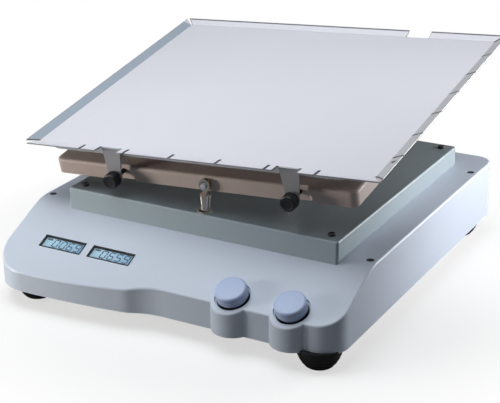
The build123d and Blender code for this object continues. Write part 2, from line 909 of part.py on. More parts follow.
def folded_pan(width, depth, radius, edge, sheet, bottom, top):
    outer = Pos(0, 0, bottom) * extrude(RectangleRounded(width, depth, radius), top - bottom)
    outer = fillet(outer.edges().group_by(Axis.Z)[-1], edge)
    inner = RectangleRounded(width - 2 * sheet, depth - 2 * sheet, radius - sheet)
    return outer - Pos(0, 0, bottom) * extrude(inner, top - bottom - sheet)


def plate_notch(x, side):
    edge = side * plate_depth / 2
    low = plate_top - plate_height
    shape = Polyline(
        (-notch_bottom / 2, low),
        (notch_bottom / 2, low),
        (notch_top / 2, plate_top - plate_sheet),
        (notch_top / 2, plate_top),
        (-notch_top / 2, plate_top),
        (-notch_top / 2, plate_top - plate_sheet),
        (-notch_bottom / 2, low),
    )
    cut = extrude(Plane.XZ * make_face(Wire(shape.edges())), notch_depth, both=True)
    return Pos(x, edge, 0) * cut


def plate_tab(x, side):
    y = side * (plate_depth / 2 - notch_depth - plate_sheet / 2)
    tab = Pos(x, y) * block(notch_top, plate_sheet, plate_top - plate_height, plate_top)
    nut = Pos(x, y, thumb_height) * Rot(90, 0, 0) * Cylinder(thumb_collar / 2, 2 * plate_sheet)
    return tab + Pos(0, -side * plate_sheet / 2) * nut


def rocking_plate():
    plate = folded_pan(
        plate_width, plate_depth, plate_corner_radius, plate_edge_radius, plate_sheet,
        plate_top - plate_height, plate_top,
    )
    plate = Pos(plate_middle_x, 0) * plate
    for _, sx, sy in clamps:
        plate -= plate_notch(sx * clamp_x, sy)
        plate += plate_tab(sx * clamp_x, sy)
    for _, sx, sy in clamps:
        hole = Cylinder(thumb_shank / 2 + running_gap, 4 * notch_depth)
        plate -= Pos(sx * clamp_x, sy * plate_depth / 2, thumb_height) * Rot(90, 0, 0) * hole
    plate -= disc(bearing_outside + 2 * bearing_wall, 0, plate_top)
    for x, y in hub_screws_at():
        plate -= Pos(x, y) * disc(screw_diameter, 0, plate_top)
    plate -= Pos(0, -plate_depth / 2, 0) * Rot(90, 0, 0) * Cylinder(stud_diameter / 2, 4 * plate_sheet)
    return on_platform(plate)


def plate_spacers():
    pan_under = tray_floor - tray_sheet - pan_sheet
    spacer = disc(spacer_diameter, plate_top, pan_under)
    return on_platform(group([Pos(x, y) * spacer for x, y in spacers_at]))


def support_pan():
    top = tray_floor - tray_sheet
    edge = pan_sheet * 1.2
    pan = folded_pan(pan_width, pan_depth, pan_corner_radius, edge, pan_sheet, top - pan_height, top)
    return on_platform(Pos(plate_middle_x, 0) * pan)


# One flange of the tray, rising from the floor's edge, with its slits
def tray_flange_strip(length, angle, places):
    out = tray_flange * cos(radians(angle))
    up = tray_flange * sin(radians(angle))
    skew = tray_sheet * sin(radians(angle))
    drop = tray_sheet * cos(radians(angle))
    outline = Polyline(
        (-tray_sheet, 0),
        (0, 0),
        (out, up),
        (out + skew, up - drop),
        (skew / 2, -tray_sheet),
        (-tray_sheet, -tray_sheet),
        (-tray_sheet, 0),
    )
    strip = extrude(Plane.YZ * make_face(Wire(outline.edges())), length / 2 + out, both=True)
    for side in (-1, 1):
        end = Pos(side * 2 * tray_flange, 0) * Box(4 * tray_flange, 8 * tray_flange, 4 * tray_flange)
        strip -= Pos(side * length / 2, 0) * Rot(0, 0, -side * tray_mitre) * end
    for x in places:
        strip -= Pos(x, tray_flange, 0) * Box(slit_width, 2 * tray_flange, 4 * tray_flange)
    return strip


def slit_places(count, pitch):
    return [(i - (count - 1) / 2) * pitch for i in range(count)]


# Strap bent down from the floor's edge, tapered to a round end about the thumb screw
def strap():
    drop = tray_floor - thumb_height
    end = -drop - strap_bottom_width / 2
    outline = Polyline(
        (0, 0),
        (tray_sheet, -tray_sheet / 2),
        (tray_sheet + strap_lean, end),
        (strap_lean, end),
        (-tray_sheet, -tray_sheet),
        (-tray_sheet, 0),
        (0, 0),
    )
    side = extrude(Plane.YZ * make_face(Wire(outline.edges())), strap_top_width, both=True)
    front = Polyline(
        (-strap_top_width / 2, 0),
        (strap_top_width / 2, 0),
        (strap_bottom_width / 2, -strap_taper),
        (strap_bottom_width / 2, -drop),
        (-strap_bottom_width / 2, -drop),
        (-strap_bottom_width / 2, -strap_taper),
        (-strap_top_width / 2, 0),
    )
    front_face = make_face(Wire(front.edges())) + Pos(0, -drop) * Circle(strap_bottom_width / 2)
    shape = side & extrude(Plane.XZ * front_face, 4 * tray_flange, both=True)
    hole = Rot(90, 0, 0) * Cylinder(thumb_shank / 2 + seat_gap, 4 * tray_flange)
    return shape - Pos(0, 0, -drop) * hole


def tray():
    floor = Pos(0, 0, -tray_sheet / 2) * Box(tray_width, tray_depth, tray_sheet)
    along_x = slit_places(slits_x, slit_pitch_x)
    along_y = slit_places(slits_y, slit_pitch_y)
    sides = [
        (0, tray_depth / 2, tray_width, tray_flange_angle, []),
        (90, tray_width / 2, tray_depth, tray_flange_angle, []),
        (180, tray_depth / 2, tray_width, tray_front_angle, along_x),
        (270, tray_width / 2, tray_depth, tray_flange_angle, along_y),
    ]
    for turn, reach, length, angle, places in sides:
        strip = Pos(0, reach, 0) * tray_flange_strip(length - slit_width, angle, places)
        floor += Rot(0, 0, turn) * strip
    for _, sx, sy in clamps:
        gap = Box(strap_gap, 2 * tray_flange, 4 * tray_flange)
        floor -= Pos(sx * clamp_x, sy * (tray_depth / 2 + tray_flange), 0) * gap
    for _, sx, sy in clamps:
        turn = 0 if sy > 0 else 180
        floor += Rot(0, 0, turn) * Pos(sx * sy * clamp_x, tray_depth / 2, 0) * strap()
    hole = disc(tray_hole, -tray_flange, tray_flange)
    floor -= Pos(tray_width / 2 + tray_flange / 2, tray_hole_y) * hole
    return on_platform(Pos(0, 0, tray_floor) * floor)


def thumb_screw(sx, sy):
    start = tray_depth / 2 + tray_sheet + strap_lean + running_gap
    shape = disc(thumb_diameter, start + thumb_collar_height, start + thumb_length)
    shape = fillet(shape.edges().group_by(Axis.Z)[-1], thumb_edge_radius)
    flute = Pos(thumb_diameter / 2 + thumb_flute / 4, 0) * disc(thumb_flute, 0, 2 * start)
    for i in range(thumb_flutes):
        shape -= Rot(0, 0, 360 * i / thumb_flutes) * flute
    shape += disc(thumb_collar, start, start + thumb_collar_height)
    end = plate_depth / 2 - notch_depth - thumb_thread_end
    shape += disc(thumb_shank, end, start)
    turn = Rot(-90, 0, 0) if sy > 0 else Rot(90, 0, 0)
    return on_platform(Pos(sx * clamp_x, 0, thumb_height) * turn * shape)


# Guide: ball stud on the platform, seat, rod and the bush on the deck
def ball_centre():
    axis = Axis((0, 0, 0), tilt_axis.direction)
    return Vector(0, -rod_reach, 0).rotate(axis, tilt) + Vector(*pivot)


def ball_stud():
    inner = plate_depth / 2 - plate_sheet - 2 * plate_sheet
    outer = rod_reach + eye_width / 2 + stud_head_length
    shank = disc(stud_diameter, inner, outer) + Pos(0, 0, rod_reach) * Sphere(ball_diameter / 2)
    shank += hexagon(stud_head, outer - stud_head_length + stud_head_gap, outer)
    shank += hexagon(stud_nut, inner, plate_depth / 2 - plate_sheet)
    return on_platform(Rot(90, 0, 0) * shank)


def rod_seat():
    cup = Sphere(seat_radius) - Sphere(ball_diameter / 2 + running_gap)
    height = seat_radius * cos(radians(ball_seat_angle))
    cup &= block(2 * seat_radius, 2 * seat_radius, -seat_radius, -height)
    return Pos(*ball_centre()) * cup


def guide_rod():
    centre = ball_centre()
    half = eye_width / 2
    mouth = sqrt(eye_cavity**2 - half**2)
    bore = ThreePointArc((mouth, -half), (eye_cavity, 0), (mouth, half))
    rim = eye_diameter / 2
    outline = Polyline((mouth, half), (rim, half), (rim, -half), (mouth, -half))
    eye = revolve(make_face(Wire([bore] + outline.edges())), Axis.Y)
    collar_top = -eye_diameter / 2 - rod_neck
    neck = disc(neck_diameter, collar_top, -(eye_cavity + eye_diameter / 2) / 2)
    collar = disc(rod_collar_diameter, collar_top - rod_collar_height, collar_top)
    rod = disc(rod_diameter, rod_bottom - centre.Z, collar_top)
    rod = chamfer(rod.edges().group_by(Axis.Z)[0], 1)
    return Pos(*centre) * (eye + neck + collar + rod)


def guide_bush():
    outside = bush_bore + 2 * bush_wall
    body = disc(outside + 2 * bush_lip, deck_top, deck_top + bush_height)
    body += disc(outside, deck_top - bush_tail, deck_top)
    return Pos(drive_x, bush_y) * (body - disc(bush_bore, 0, 2 * deck_top))


nodes = {
    "upper_housing": upper_housing(),
    "base_plate": base_plate(),
    "rubber_feet": rubber_feet(),
    "foot_screws": foot_screws(),
    "housing_screws": housing_screws(),
    "screw_caps": screw_caps(),
    "deck_cover": deck_cover(),
    "deck_pillars": deck_pillars(),
    "deck_screws": deck_screws(),
    "display_frames": display_frames(),
    "display_windows": display_windows(),
    "display_modules": display_modules(),
    "control_board": control_board(),
    "board_standoffs": board_standoffs(),
    "encoder_bodies": encoder_bodies(),
    "knob_washers": knob_washers(),
    "bridge_plate": bridge_plate(),
    "bridge_pillars": bridge_pillars(),
    "lower_bearing_housing": bearing_housing(base_top, lower_bearing_bottom),
    "upper_bearing_housing": bearing_housing(bridge_top, upper_bearing_bottom),
    "chassis_screws": chassis_screws(),
    "drive_bearing_outers": drive_bearing_outers(),
    "shaft_seal": shaft_seal(),
    "motor_housing": motor_housing(),
    "motor_bracket": motor_bracket(),
    "drive_belt": drive_belt(),
    "power_board": power_board(),
    "mains_inlet": mains_inlet(),
    "switch_frame": switch_frame(),
    "guide_bush": guide_bush(),
    "drive_shaft": drive_shaft(),
    "tilt_head": tilt_head(),
    "stub_nut": stub_nut(),
    "drive_pulley": drive_pulley(),
    "drive_bearing_inners": drive_bearing_inners(),
    "platform_bearing_inners": platform_bearing_inners(),
    "platform_hub": platform_hub(),
    "hub_cap": hub_cap(),
    "hub_screws": hub_screws(),
    "platform_bearing_outers": platform_bearing_outers(),
    "rocking_plate": rocking_plate(),
    "plate_spacers": plate_spacers(),
    "support_pan": support_pan(),
    "tray": tray(),
    "ball_stud": ball_stud(),
    "rod_seat": rod_seat(),
    "guide_rod": guide_rod(),
    "speed_shaft": knob_shaft(speed_knob_x),
    "speed_knob": knob(speed_knob_x),
    "time_shaft": knob_shaft(time_knob_x),
    "time_knob": knob(time_knob_x),
    "switch_rocker": switch_rocker(),
    "motor_shaft": motor_shaft(),
    "motor_pulley": motor_pulley(),
}
for place, sx, sy in clamps:
    nodes[f"thumb_screw_{place}"] = thumb_screw(sx, sy)

for name, shape in nodes.items():
    export_step(shape, f"parts/{name}.step")
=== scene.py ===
import json
from math import atan2, cos, pi, radians, sin, tan

import bmesh
import bpy
from mathutils import Matrix, Vector


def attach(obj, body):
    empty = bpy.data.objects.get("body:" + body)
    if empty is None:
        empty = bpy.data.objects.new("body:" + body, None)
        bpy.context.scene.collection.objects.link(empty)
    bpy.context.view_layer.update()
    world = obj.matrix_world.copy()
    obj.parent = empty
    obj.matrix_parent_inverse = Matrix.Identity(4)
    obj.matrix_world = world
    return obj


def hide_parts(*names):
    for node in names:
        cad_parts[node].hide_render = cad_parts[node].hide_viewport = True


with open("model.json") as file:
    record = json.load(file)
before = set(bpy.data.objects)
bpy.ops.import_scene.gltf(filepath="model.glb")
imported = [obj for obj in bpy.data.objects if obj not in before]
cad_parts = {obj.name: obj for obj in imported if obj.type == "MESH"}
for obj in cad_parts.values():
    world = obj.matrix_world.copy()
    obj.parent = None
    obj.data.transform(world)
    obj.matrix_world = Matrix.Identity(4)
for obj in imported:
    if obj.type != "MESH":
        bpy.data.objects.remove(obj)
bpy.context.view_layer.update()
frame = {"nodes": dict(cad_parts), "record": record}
nodes = frame["nodes"]
print("frame loaded,", len(nodes), "nodes")

# The front panel's plane, the displays on it and the tilted platform, in metres and degrees
places = {
    "panelAngle": 24,
    "panelPoint": (0, -0.128404, 0.0758127),
    "displayStart": -0.131,
    "displayPitch": 0.058,
    "displayY": -0.168,
    "pivot": (0.004, 0.032, 0.1525),
    "tilt": 10,
    "lowSide": 24,
}


def panelPlace(x, y, lift=0.0):
    angle = radians(places["panelAngle"])
    point = Vector(places["panelPoint"])
    height = point.z + (y - point.y) * tan(angle)
    normal = Vector((0, -sin(angle), cos(angle)))
    return Matrix.Translation(Vector((x, y, height)) + normal * lift) @ Matrix.Rotation(angle, 4, "X")


def platformPlace():
    turn = radians(places["lowSide"])
    axis = Vector((cos(turn), -sin(turn), 0))
    return Matrix.Translation(places["pivot"]) @ Matrix.Rotation(radians(places["tilt"]), 4, axis)


# One socket of a material's tree, so that shader sums are written as sums
class Signal:
    def __init__(self, finish, socket):
        self.finish = finish
        self.socket = socket

    def math(self, operation, *values, clamp=False):
        settings = {"operation": operation, "use_clamp": clamp}
        return self.finish.node("ShaderNodeMath", settings, dict(enumerate(values)))

    def __add__(self, other):
        return self.math("ADD", self, other)

    def __radd__(self, other):
        return self.math("ADD", other, self)

    def __sub__(self, other):
        return self.math("SUBTRACT", self, other)

    def __rsub__(self, other):
        return self.math("SUBTRACT", other, self)

    def __mul__(self, other):
        return self.math("MULTIPLY", self, other)

    def __rmul__(self, other):
        return self.math("MULTIPLY", other, self)

    def __truediv__(self, other):
        return self.math("DIVIDE", self, other)

    def __abs__(self):
        return self.math("ABSOLUTE", self)

    def fraction(self):
        return self.math("FRACT", self)

    def clamped(self):
        return self.math("ADD", self, 0.0, clamp=True)

    # From 0 where the value is at the start to 1 where it is at the end
    def rise(self, start, end):
        return self.math("DIVIDE", self - start, end - start, clamp=True)


# A material that starts as one Principled shader
class Finish:
    def __init__(self, name, **values):
        self.material = bpy.data.materials.new(name)
        self.material.use_nodes = True
        self.tree = self.material.node_tree
        self.tree.nodes.clear()
        self.output = self.tree.nodes.new("ShaderNodeOutputMaterial")
        self.shader = self.tree.nodes.new("ShaderNodeBsdfPrincipled")
        self.tree.links.new(self.shader.outputs[0], self.output.inputs["Surface"])
        for key, value in values.items():
            self.put(key, value)

    # Settings first, then the sockets' values or links
    def node(self, kind, settings, inputs, output=0):
        made = self.tree.nodes.new(kind)
        for key, value in settings.items():
            setattr(made, key, value)
        for key, value in inputs.items():
            self.join(made.inputs[key], value)
        return Signal(self, made.outputs[output])

    def join(self, socket, value):
        if isinstance(value, Signal):
            self.tree.links.new(value.socket, socket)
        else:
            socket.default_value = value

    def put(self, key, value):
        self.join(self.shader.inputs[key.replace("_", " ")], value)

    def spot(self):
        return self.node("ShaderNodeTexCoord", {}, {}, "Object")

    def where(self, scale=(1, 1, 1)):
        return self.node("ShaderNodeMapping", {}, {"Vector": self.spot(), "Scale": scale})

    # The same place measured along the tilted platform's own axes
    def whereOnPlatform(self):
        platform = platformPlace()
        inputs = {"Vector": self.spot(), "Location": platform.translation}
        inputs["Rotation"] = platform.to_euler()
        return self.node("ShaderNodeMapping", {"vector_type": "TEXTURE"}, inputs)

    def part(self, vector, axis):
        return self.node("ShaderNodeSeparateXYZ", {}, {0: vector}, axis)

    def dot(self, first, second):
        inputs = {0: first, 1: second}
        return self.node("ShaderNodeVectorMath", {"operation": "DOT_PRODUCT"}, inputs, "Value")

    # 1 where the surface faces along the direction or against it, 0 where it lies along it
    def facing(self, direction):
        normal = self.node("ShaderNodeTexCoord", {}, {}, "Normal")
        return abs(self.dot(normal, direction))

    def noise(self, scale, detail=3.0, rough=0.55, place=None):
        inputs = {"Vector": place or self.where(), "Scale": scale}
        inputs.update({"Detail": detail, "Roughness": rough})
        return self.node("ShaderNodeTexNoise", {}, inputs)

    def cells(self, scale):
        return self.node("ShaderNodeTexVoronoi", {}, {"Vector": self.where(), "Scale": scale}, "Distance")

    def blend(self, factor, first, second, mode="MIX"):
        settings = {"data_type": "RGBA", "blend_type": mode}
        return self.node("ShaderNodeMix", settings, {0: factor, 6: first, 7: second}, 2)

    # How near the surface is to an edge, broken up by noise
    def edges(self, radius, share=1.0):
        rounded = self.node("ShaderNodeBevel", {"samples": 6}, {"Radius": radius})
        flat = self.node("ShaderNodeNewGeometry", {}, {}, "Normal")
        away = 1 - self.dot(rounded, flat)
        return (away * (9 * share) * (0.6 + 0.8 * self.noise(60, 4))).clamped()

    def bump(self, height, distance):
        inputs = {"Height": height, "Distance": distance, "Strength": 1.0}
        self.put("Normal", self.node("ShaderNodeBump", {}, inputs))


def shade(colour, factor):
    return tuple(min(1.0, part * factor) for part in colour) + (1.0,)


# Moulded plastic: fine spark texture, faint mottling, and a painted highlight that makes the edges paler and
# a little smoother
def mouldedPlastic(name, colour, rough, grain, depth, mottle=0.04, edge=0.5, shine=0.5):
    finish = Finish(name, Specular_IOR_Level=shine)
    patches = finish.noise(18, 4)
    pores = finish.noise(grain, 2, 0.6)
    body = finish.blend(patches, shade(colour, 1 - mottle), shade(colour, 1 + mottle))
    highlightMask = finish.edges(0.0016, edge)
    # Painted highlight: the colour made paler near the edges
    finish.put("Base_Color", finish.blend(highlightMask, body, shade(colour, 1.3)))
    finish.put("Roughness", (rough - 0.05 + 0.1 * pores - 0.08 * highlightMask).clamped())
    finish.bump(pores + 0.3 * finish.cells(grain * 0.6), depth)
    return finish.material


# Powder coat on sheet metal: orange peel and a fine speckle, with a painted highlight paler over the edges,
# and painted shade where the sheet lies level: its colour multiplied by top there
def powderCoat(name, colour, rough, peel, depth, speckle=0.05, edge=0.6, edgeHighlight=1.35, shine=0.5, top=1.0):
    finish = Finish(name, Specular_IOR_Level=shine)
    broad = finish.noise(12, 3)
    fine = finish.noise(peel * 3, 2, 0.7)
    peelNoise = finish.noise(peel, 3, 0.5)
    tone = (0.6 * broad + 0.4 * fine).clamped()
    body = finish.blend(tone, shade(colour, 1 - speckle), shade(colour, 1 + speckle))
    level = finish.facing((0, 0, 1)).rise(0.8, 1.0)
    # Painted shade: level faces darkened by the factor top
    body = finish.blend(level, body, (top, top, top, 1), "MULTIPLY")
    # Painted highlight: the colour made paler near the edges
    highlightMask = finish.edges(0.0010, edge)
    finish.put("Base_Color", finish.blend(highlightMask, body, shade(colour, edgeHighlight)))
    finish.put("Roughness", (rough - 0.06 + 0.12 * peelNoise).clamped())
    finish.bump(peelNoise + 0.25 * fine, depth)
    return finish.material


# Metal with fine lines, drawn out along the axes where the stretch is least, and a few stains. The lines are
# grain, and on the chromed rod they are painted reflection streaks
def linedMetal(name, colour, rough, stretch, depth, grainAndReflection=0.08, stain=(0.30, 0.27, 0.24)):
    finish = Finish(name, Metallic=1.0)
    lines = finish.noise(160, 4, 0.65, finish.where(stretch))
    smears = finish.noise(40, 3)
    body = finish.blend(lines, shade(colour, 1 - grainAndReflection), shade(colour, 1 + grainAndReflection))
    stains = finish.noise(420, 3, 0.7).rise(0.62, 0.78)
    finish.put("Base_Color", finish.blend(0.35 * stains, body, shade(stain, 1)))
    finish.put("Roughness", (rough - 0.08 + 0.1 * lines + 0.08 * smears).clamped())
    finish.bump(lines, depth)
    return finish.material


# White paint on the sheet, with painted shade: grey-blue on the left flange to grey on the right one,
# a dark line along the left and back edges and near the edges of level faces, and a darker grey with brushed
# lines on the straps and cut edges
traySheet = {
    "leftEdge": -0.2093,
    "backEdge": 0.1643,
    "backBend": 0.153,
    "shadeLineWidth": 0.0022,
    "lineFade": 0.0006,
    "floorPaint": ((0.755, 0.75, 0.815, 1), (0.79, 0.785, 0.85, 1)),
    "leftRimShade": (0.39, 0.45, 0.52, 1),
    "rightRimShade": (0.47, 0.465, 0.49, 1),
    "edgeShade": (0.15, 0.15, 0.17, 1),
    "sideShade": ((0.21, 0.21, 0.23, 1), (0.30, 0.30, 0.325, 1)),
}


def trayPaint():
    finish = Finish("trayPaint")
    place = finish.whereOnPlatform()
    x, y = finish.part(place, "X"), finish.part(place, "Y")
    facing = finish.facing(platformPlace().to_3x3() @ Vector((0, 0, 1)))
    level = facing.rise(0.6, 0.85)
    atBack = y.rise(traySheet["backBend"], traySheet["backBend"] + 0.002)
    # Mask of the side flanges, which get painted shade
    bent = facing.rise(0.985, 0.955) * (1 - atBack)
    # Painted shade: dark lines along the left and back edges and near the edges of level faces
    lineStart = traySheet["leftEdge"] + traySheet["shadeLineWidth"]
    leftShadeLine = x.rise(lineStart, lineStart - traySheet["lineFade"])
    lineStart = traySheet["backEdge"] - traySheet["shadeLineWidth"]
    backShadeLine = y.rise(lineStart, lineStart + traySheet["lineFade"])
    edge = (leftShadeLine + backShadeLine + finish.edges(0.0015, 1.4)).clamped() * level
    peel = finish.noise(520, 3, 0.5)
    brushed = finish.noise(300, 3, 0.6, finish.where((1, 1, 9)))
    white = finish.blend(finish.noise(9, 3), *traySheet["floorPaint"])
    # Painted shade: a dark grey with brushed lines on faces that don't face up, the straps and cut edges
    sideShading = finish.blend(brushed, *traySheet["sideShade"])
    # Painted shade for the side flanges, grey-blue on the left and grey on the right
    rimShade = finish.blend(x.rise(0, -0.05), traySheet["rightRimShade"], traySheet["leftRimShade"])
    # Painted shade: the white made dark along those lines and edges
    painted = finish.blend(edge, finish.blend(bent, white, rimShade), traySheet["edgeShade"])
    finish.put("Base_Color", finish.blend(level, sideShading, painted))
    finish.put("Roughness", (0.34 + 0.1 * peel).clamped())
    finish.bump(peel * level + brushed * (1 - level), 0.00005)
    return finish.material


def rubber(name, colour, rough):
    finish = Finish(name, Specular_IOR_Level=0.25)
    dust = finish.noise(35, 4)
    body = finish.blend(dust, shade(colour, 0.7), shade(colour, 1.5))
    # Painted highlight: the colour three times paler near the edges
    finish.put("Base_Color", finish.blend(finish.edges(0.0012, 0.5), body, shade(colour, 3)))
    finish.put("Roughness", (rough - 0.06 + 0.14 * dust).clamped())
    finish.bump(finish.noise(900, 2), 0.00006)
    return finish.material


def displayGlass():
    finish = Finish("displayGlass", Base_Color=(0.70, 0.84, 0.92, 1), IOR=1.49)
    smudge = finish.noise(90, 4)
    finish.put("Roughness", (0.04 + 0.08 * smudge).clamped())
    finish.put("Alpha", (0.06 + 0.05 * smudge).clamped())
    return finish.material


# Blue reflector of the displays, paler at the left of each, with the crystal's fine cells
def displayFace():
    finish = Finish("displayFace", Emission_Strength=0.06)
    x = finish.part(finish.where(), "X")
    along = ((x - places["displayStart"]) / places["displayPitch"] + 0.5).fraction()
    glow = finish.noise(45, 2)
    grid = finish.cells(2600)
    tone = (1.05 - 1.2 * along + 0.4 * (glow - 0.5) + 0.3 * grid).clamped()
    colour = finish.blend(tone, (0.075, 0.27, 0.48, 1), (0.36, 0.60, 0.72, 1))
    finish.put("Base_Color", colour)
    finish.put("Emission_Color", colour)
    finish.put("Roughness", (0.42 + 0.1 * grid).clamped())
    return finish.material


def digitInk():
    finish = Finish("digitInk")
    tone = finish.noise(300, 2)
    finish.put("Base_Color", finish.blend(tone, (0.004, 0.016, 0.075, 1), (0.009, 0.030, 0.12, 1)))
    finish.put("Roughness", (0.4 + 0.1 * tone).clamped())
    return finish.material


# Solder mask with rows of tracks under it
def circuitBoard():
    finish = Finish("boardGreen")
    rows = {"Vector": finish.where(), "Scale": 240, "Mortar Size": 0.03}
    rows.update({"Color1": (0, 0, 0, 1), "Color2": (0.3, 0.3, 0.3, 1)})
    tracks = finish.node("ShaderNodeTexBrick", {"offset": 0.5, "squash": 0.6}, rows, "Fac")
    finish.put("Base_Color", finish.blend(tracks, (0.02, 0.13, 0.05, 1), (0.07, 0.26, 0.10, 1)))
    finish.put("Roughness", (0.35 + 0.2 * tracks).clamped())
    finish.bump(tracks, 0.00004)
    return finish.material


# One finish for each material slot of the CAD model, depths of the bump in metres
finishes = {
    "housing_plastic": mouldedPlastic(
        "housingPlastic", (0.49, 0.545, 0.64), rough=0.44, grain=700, depth=0.00005, mottle=0.02),
    "knob_plastic": mouldedPlastic(
        "knobPlastic", (0.39, 0.475, 0.69), rough=0.38, grain=900, depth=0.00003, mottle=0.02, edge=0.35),
    # The deck's level top gets painted shade, its colour multiplied by 0.62
    "deck_paint": powderCoat(
        "deckPaint", (0.285, 0.345, 0.38), rough=0.40, peel=420, depth=0.00006,
        speckle=0.05, edge=0.8, edgeHighlight=1.7, shine=0.3, top=0.62),
    "tray_paint": trayPaint(),
    "plate_paint": powderCoat(
        "platePaint", (0.41, 0.335, 0.305), rough=0.44, peel=480, depth=0.00006,
        speckle=0.06, edge=0.5, edgeHighlight=1.5, shine=0.35),
    "sheet_steel": linedMetal(
        "sheetSteel", (0.50, 0.51, 0.53), rough=0.38, stretch=(1, 14, 14), depth=0.00003),
    "machined_steel": linedMetal(
        "machinedSteel", (0.58, 0.58, 0.60), rough=0.30, stretch=(1, 1, 16), depth=0.00002),
    "bearing_steel": linedMetal(
        "bearingSteel", (0.75, 0.75, 0.77), rough=0.16, stretch=(1, 1, 20), depth=0.00001, grainAndReflection=0.04),
    # Chromed rod: the warm tint and the strong lengthwise streaks are a painted reflection
    "chromed_steel": linedMetal(
        "chromedSteel", (0.58, 0.53, 0.48), rough=0.14, stretch=(9, 9, 0.5), depth=0.00001, grainAndReflection=0.30),
    "screw_steel": linedMetal(
        "screwSteel", (0.055, 0.05, 0.05), rough=0.36, stretch=(6, 6, 6), depth=0.00002, grainAndReflection=0.2),
    "cast_aluminium": linedMetal(
        "castAluminium", (0.70, 0.71, 0.72), rough=0.42, stretch=(3, 3, 3), depth=0.00006),
    "motor_paint": powderCoat("motorPaint", (0.03, 0.03, 0.035), rough=0.4, peel=380, depth=0.00008),
    "black_rubber": rubber("blackRubber", (0.006, 0.006, 0.0065), rough=0.6),
    "black_plastic": mouldedPlastic(
        "blackPlastic", (0.007, 0.007, 0.008), rough=0.42, grain=800, depth=0.00004, mottle=0.2, shine=0.3),
    "bush_plastic": mouldedPlastic(
        "bushPlastic", (0.26, 0.24, 0.22), rough=0.45, grain=700, depth=0.00003, mottle=0.05),
    "display_glass": displayGlass(),
    "display_face": displayFace(),
    "board_green": circuitBoard(),
}
inkFinish = digitInk()
print("finishes made,", len(finishes) + 1)


def dress(piece, material):
    piece.data.materials.clear()
    piece.data.materials.append(material)


for row in frame["record"]["subparts"]:
    dress(nodes[row["node"]], finishes[row["material_slot"]])
print("nodes dressed")


def deselect():
    if bpy.context.object and bpy.context.object.mode == "EDIT":
        bpy.ops.object.mode_set(mode="OBJECT")
    bpy.ops.object.select_all(action="DESELECT")


def rename(piece, name):
    piece.name = name
    piece.data.name = name


# In edit mode, picks the piece's faces by a test on their centre and normal
def pickFaces(piece, test):
    bpy.ops.mesh.select_mode(type="FACE")
    bpy.ops.mesh.select_all(action="DESELECT")
    mesh = bmesh.from_edit_mesh(piece.data)
    for face in mesh.faces:
        face.select = bool(test(face.calc_center_median(), face.normal))
    mesh.select_flush_mode()
    bmesh.update_edit_mesh(piece.data)


def pickVerts(piece, test):
    bpy.ops.mesh.select_mode(type="VERT")
    bpy.ops.mesh.select_all(action="DESELECT")
    mesh = bmesh.from_edit_mesh(piece.data)
    for vert in mesh.verts:
        vert.select = bool(test(vert.co))
    mesh.select_flush_mode()
    bmesh.update_edit_mesh(piece.data)


def copyOf(piece, name, place):
    twin = piece.copy()
    twin.data = piece.data.copy()
    rename(twin, name)
    bpy.context.scene.collection.objects.link(twin)
    twin.matrix_world = place
    return twin


def joinPieces(pieces, name):
    deselect()
    for piece in pieces:
        piece.select_set(True)
    bpy.context.view_layer.objects.active = pieces[0]
    bpy.ops.object.join()
    whole = bpy.context.object
    rename(whole, name)
    return whole


# Leaves edit mode, puts the piece in its place, clears its transform and smooths it
def settle(piece, place=None, smooth=35):
    if piece.mode == "EDIT":
        bpy.ops.object.mode_set(mode="OBJECT")
    deselect()
    piece.select_set(True)
    bpy.context.view_layer.objects.active = piece
    if place is not None:
        piece.matrix_world = place
    bpy.ops.object.transform_apply(location=True, rotation=True, scale=True)
    bpy.ops.object.shade_smooth_by_angle(angle=radians(smooth))
    return piece


def finishPiece(piece, slotName, body, material=None):
    dress(piece, material or finishes[slotName])
    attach(piece, body)


# A turned shape: a disc is extruded and scaled from ring to ring of (radius, height)
def turned(name, rings, sides):
    deselect()
    radius, height = rings[0]
    bpy.ops.mesh.primitive_circle_add(
        vertices=sides, radius=radius, fill_type="NGON", location=(0, 0, height))
    bpy.ops.object.transform_apply(location=True, rotation=True, scale=True)
    piece = bpy.context.object
    rename(piece, name)
    bpy.ops.object.mode_set(mode="EDIT")
    bpy.ops.mesh.select_all(action="SELECT")
    for nextRadius, nextHeight in rings[1:]:
        bpy.ops.mesh.extrude_region_move(TRANSFORM_OT_translate={"value": (0, 0, nextHeight - height)})
        grow = nextRadius / radius
        bpy.ops.transform.resize(value=(grow, grow, 1), center_override=(0, 0, nextHeight))
        radius, height = nextRadius, nextHeight
    bpy.ops.mesh.select_all(action="SELECT")
    bpy.ops.mesh.normals_make_consistent(inside=False)
    return piece


# Knobs: a puck with a soft shoulder and a low dome, undercut and hollow at the foot
knob = {
    "radius": 0.0155,
    "bottom": -0.0013,
    "height": 0.013,
    "shoulder": 0.0026,
    "shoulderSteps": 8,
    "dome": 0.0007,
    "domeRings": (0.9, 0.75, 0.5, 0.25, 0.05),
    "bore": 0.0034,
    "hollow": 0.004,
    "lip": 0.0012,
    "undercut": 0.0014,
    "undercutTop": 0.0007,
    "chamfer": 0.0004,
    "sides": 112,
    "smooth": 30,
    "y": -0.181,
    "turns": (("speedKnob", 0.072, "speed_knob"), ("timeKnob", 0.134, "time_knob")),
}


# The rings of a rounded corner, from straight up to level
def shoulder(radius, top, bend, steps):
    turns = [radians(90 * i / steps) for i in range(steps + 1)]
    return [(radius - bend * (1 - cos(turn)), top - bend * (1 - sin(turn))) for turn in turns]


